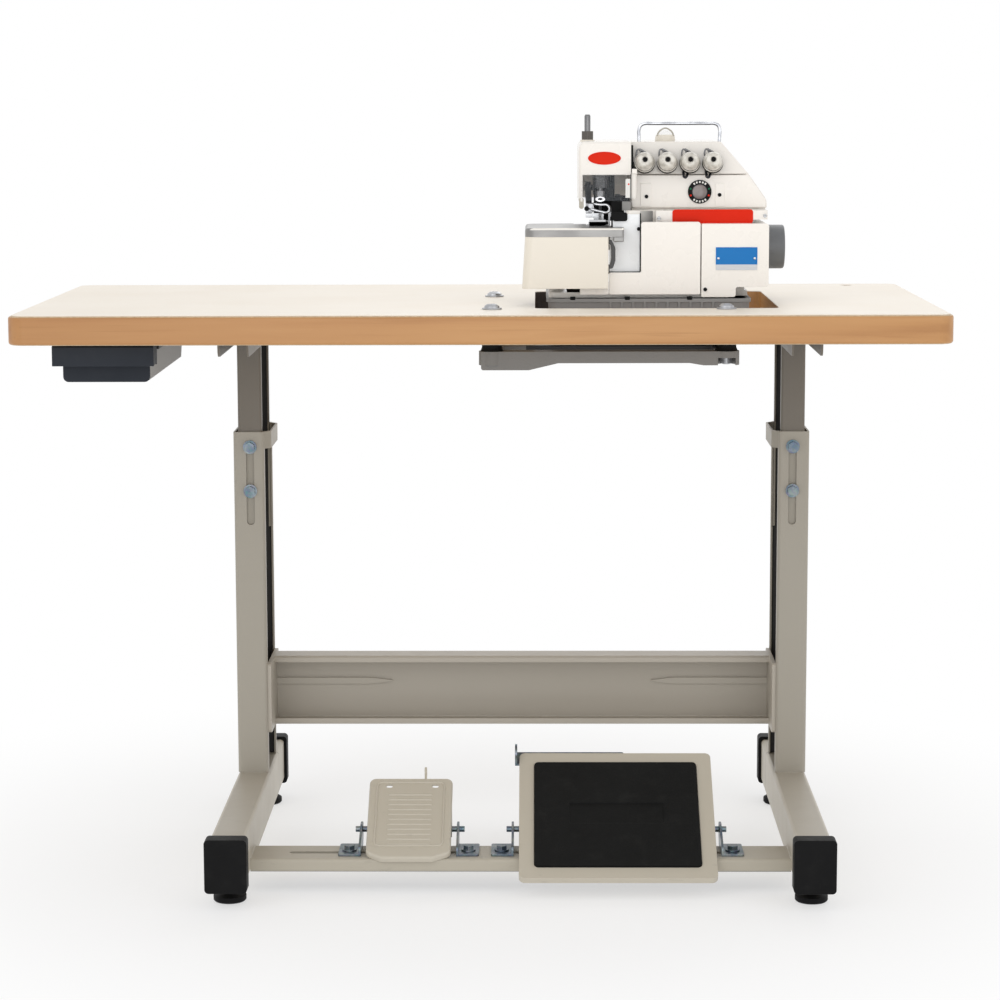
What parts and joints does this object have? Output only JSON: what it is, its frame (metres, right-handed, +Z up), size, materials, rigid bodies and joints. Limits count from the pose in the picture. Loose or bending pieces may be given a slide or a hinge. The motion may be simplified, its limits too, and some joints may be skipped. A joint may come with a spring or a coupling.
{
  "type": "industrial overlock sewing machine on stand",
  "caption": "Overlock sewing machine head sunk in a laminate table with drawer, on a steel T-leg stand with levelling feet, sewing treadle and lift pedal.",
  "frame": {"origin": "on the floor under the middle of the part's outline", "axes": "+X to the operator's right along the table, +Y away from the operator, +Z up"},
  "size_m": [1.2, 0.635, 1.014],
  "materials": {
    "stand_paint": "satin grey-beige paint",
    "treadle_paint": "satin beige paint",
    "black_plastic": "matt black",
    "black_rubber": "matt black",
    "zinc": "bright zinc plate",
    "wood_edge": "clear satin varnish",
    "laminate": "cream satin laminate",
    "drawer_face": "dark blue-grey",
    "drawer_grey": "mid grey",
    "black_paint": "satin black paint",
    "enamel": "off-white enamel",
    "cream_enamel": "cream enamel",
    "plate_metal": "fine-ground grey steel",
    "tool_steel": "polished tool steel",
    "chrome": "bright chrome",
    "clear_guard": "clear acrylic",
    "wheel_grey": "satin machined grey",
    "pearl_plastic": "pearl gloss"
  },
  "bodies": {
    "stand": {"leg_frame_left": "stand_paint", "leg_frame_right": "stand_paint", "rear_beam": "stand_paint", "treadle_bar": "stand_paint", "foot_end_caps": "black_plastic", "treadle_brackets": "zinc", "bracket_bolts": "zinc"},
    "table": {"inner_leg_left": "stand_paint", "inner_leg_right": "stand_paint", "height_clamp_bolts": "zinc", "table_top": "wood_edge", "table_laminate": "laminate", "drawer_rails": "black_paint", "hanging_frame": "black_paint", "rubber_cushions": "black_rubber", "hanging_bolts": "zinc", "oil_pan": "black_paint", "bed_casting": "enamel", "arm_casting": "enamel", "face_cover": "enamel", "tension_panel": "enamel", "lower_panel": "enamel", "belt_cover": "enamel", "needle_plate": "tool_steel", "lower_knife": "tool_steel", "chip_guard": "black_plastic", "tension_posts": "chrome", "thread_guide": "chrome", "oil_dome": "clear_guard", "head_screws": "zinc"},
    "drawer": {"drawer_tray": "drawer_grey", "drawer_front": "drawer_face"},
    "lift_pedal": {"lift_pedal": "treadle_paint"},
    "treadle": {"treadle_plate": "treadle_paint", "treadle_mat": "black_rubber", "treadle_link": "zinc"},
    "glide_front_left": {"glide_front_left": "black_paint"},
    "glide_rear_left": {"glide_rear_left": "black_paint"},
    "glide_front_right": {"glide_front_right": "black_paint"},
    "glide_rear_right": {"glide_rear_right": "black_paint"},
    "drive": {"main_shaft": "tool_steel", "handwheel": "wheel_grey"},
    "needle": {"needle_bar": "tool_steel", "needle_clamp": "tool_steel"},
    "presser": {"presser_arm": "tool_steel", "presser_foot": "tool_steel"},
    "pressure_screw": {"pressure_screw": "black_paint"},
    "cloth_plate": {"cloth_plate": "plate_metal", "cloth_apron": "cream_enamel", "cloth_latch": "black_plastic"},
    "front_cover": {"front_cover": "enamel"},
    "eye_guard": {"eye_guard": "clear_guard"},
    "upper_looper": {"upper_looper": "tool_steel"},
    "lower_looper": {"lower_looper": "tool_steel"},
    "upper_knife": {"upper_knife": "tool_steel"},
    "feed_dogs": {"feed_dogs": "tool_steel"},
    "tension_knob_1": {"tension_knob_1": "pearl_plastic"},
    "tension_knob_2": {"tension_knob_2": "pearl_plastic"},
    "tension_knob_3": {"tension_knob_3": "pearl_plastic"},
    "tension_knob_4": {"tension_knob_4": "pearl_plastic"}
  },
  "joints": [
    {"name": "height_adjust", "type": "slide", "parent": "stand", "child": "table", "axis": [0, 0, 1], "range_m": [-0.04, 0]},
    {"name": "drawer_slide", "type": "slide", "parent": "table", "child": "drawer", "axis": [0, -1, 0], "range_m": [0, 0.2]},
    {"name": "lift_pedal_tilt", "type": "hinge", "parent": "stand", "child": "lift_pedal", "pos_m": [-0.098, -0.155, 0.0665], "axis": [-1, 0, 0], "range_deg": [0, 25]},
    {"name": "treadle_tilt", "type": "hinge", "parent": "stand", "child": "treadle", "pos_m": [0.178, -0.155, 0.0665], "axis": [-1, 0, 0], "range_deg": [0, 38]},
    {"name": "glide_front_left_level", "type": "slide", "parent": "stand", "child": "glide_front_left", "axis": [0, 0, -1], "range_m": [0, 0.012]},
    {"name": "glide_rear_left_level", "type": "slide", "parent": "stand", "child": "glide_rear_left", "axis": [0, 0, -1], "range_m": [0, 0.012]},
    {"name": "glide_front_right_level", "type": "slide", "parent": "stand", "child": "glide_front_right", "axis": [0, 0, -1], "range_m": [0, 0.012]},
    {"name": "glide_rear_right_level", "type": "slide", "parent": "stand", "child": "glide_rear_right", "axis": [0, 0, -1], "range_m": [0, 0.012]},
    {"name": "handwheel_spin", "type": "hinge", "parent": "table", "child": "drive", "pos_m": [0.3, -0.0025, 0.836], "axis": [1, 0, 0], "continuous": true},
    {"name": "needle_bar_stroke", "type": "slide", "parent": "table", "child": "needle", "axis": [0, 0, -1], "range_m": [0, 0.022]},
    {"name": "presser_lift", "type": "hinge", "parent": "table", "child": "presser", "pos_m": [0.142, 0.0275, 0.915], "axis": [-1, 0, 0], "range_deg": [0, 4], "stiffness_Nm_per_rad": 4, "springref_deg": -11.46},
    {"name": "pressure_screw_turn", "type": "hinge", "parent": "table", "child": "pressure_screw", "pos_m": [0.14, -0.0425, 0.98], "axis": [0, 0, 1], "range_deg": [-180, 180]},
    {"name": "cloth_plate_swing", "type": "hinge", "parent": "table", "child": "cloth_plate", "pos_m": [0.098, -0.0185, 0.83], "axis": [0, 0, -1], "range_deg": [0, 100]},
    {"name": "front_cover_open", "type": "hinge", "parent": "table", "child": "front_cover", "pos_m": [0.227, -0.123, 0.7875], "axis": [1, 0, 0], "range_deg": [0, 90]},
    {"name": "eye_guard_swing", "type": "hinge", "parent": "table", "child": "eye_guard", "pos_m": [0.201, -0.0875, 0.92], "axis": [0, 0, 1], "range_deg": [0, 110]},
    {"name": "upper_looper_rock", "type": "hinge", "parent": "table", "child": "upper_looper", "pos_m": [0.206, -0.0355, 0.821], "axis": [0, 1, 0], "range_deg": [0, 5]},
    {"name": "lower_looper_rock", "type": "hinge", "parent": "table", "child": "lower_looper", "pos_m": [0.206, -0.0525, 0.803], "axis": [0, -1, 0], "range_deg": [0, 5]},
    {"name": "upper_knife_rock", "type": "hinge", "parent": "table", "child": "upper_knife", "pos_m": [0.181, 0.0055, 0.899], "axis": [-1, 0, 0], "range_deg": [0, 6]},
    {"name": "feed_dogs_travel", "type": "slide", "parent": "table", "child": "feed_dogs", "axis": [0, 1, 0], "range_m": [0, 0.002]},
    {"name": "tension_knob_1_turn", "type": "hinge", "parent": "table", "child": "tension_knob_1", "pos_m": [0.215, -0.084, 0.95248], "axis": [0, -0.9703, 0.2419], "range_deg": [-180, 180]},
    {"name": "tension_knob_2_turn", "type": "hinge", "parent": "table", "child": "tension_knob_2", "pos_m": [0.245, -0.084, 0.95248], "axis": [0, -0.9703, 0.2419], "range_deg": [-180, 180]},
    {"name": "tension_knob_3_turn", "type": "hinge", "parent": "table", "child": "tension_knob_3", "pos_m": [0.275, -0.084, 0.95248], "axis": [0, -0.9703, 0.2419], "range_deg": [-180, 180]},
    {"name": "tension_knob_4_turn", "type": "hinge", "parent": "table", "child": "tension_knob_4", "pos_m": [0.305, -0.084, 0.95248], "axis": [0, -0.9703, 0.2419], "range_deg": [-180, 180]}
  ],
  "couplings": [
    {"joint": "upper_looper_rock", "follows": "needle_bar_stroke", "rad_per_m": 3.808},
    {"joint": "lower_looper_rock", "follows": "needle_bar_stroke", "rad_per_m": 3.808},
    {"joint": "upper_knife_rock", "follows": "needle_bar_stroke", "rad_per_m": 4.6013},
    {"joint": "feed_dogs_travel", "follows": "needle_bar_stroke", "ratio": 0.08182}
  ]
}
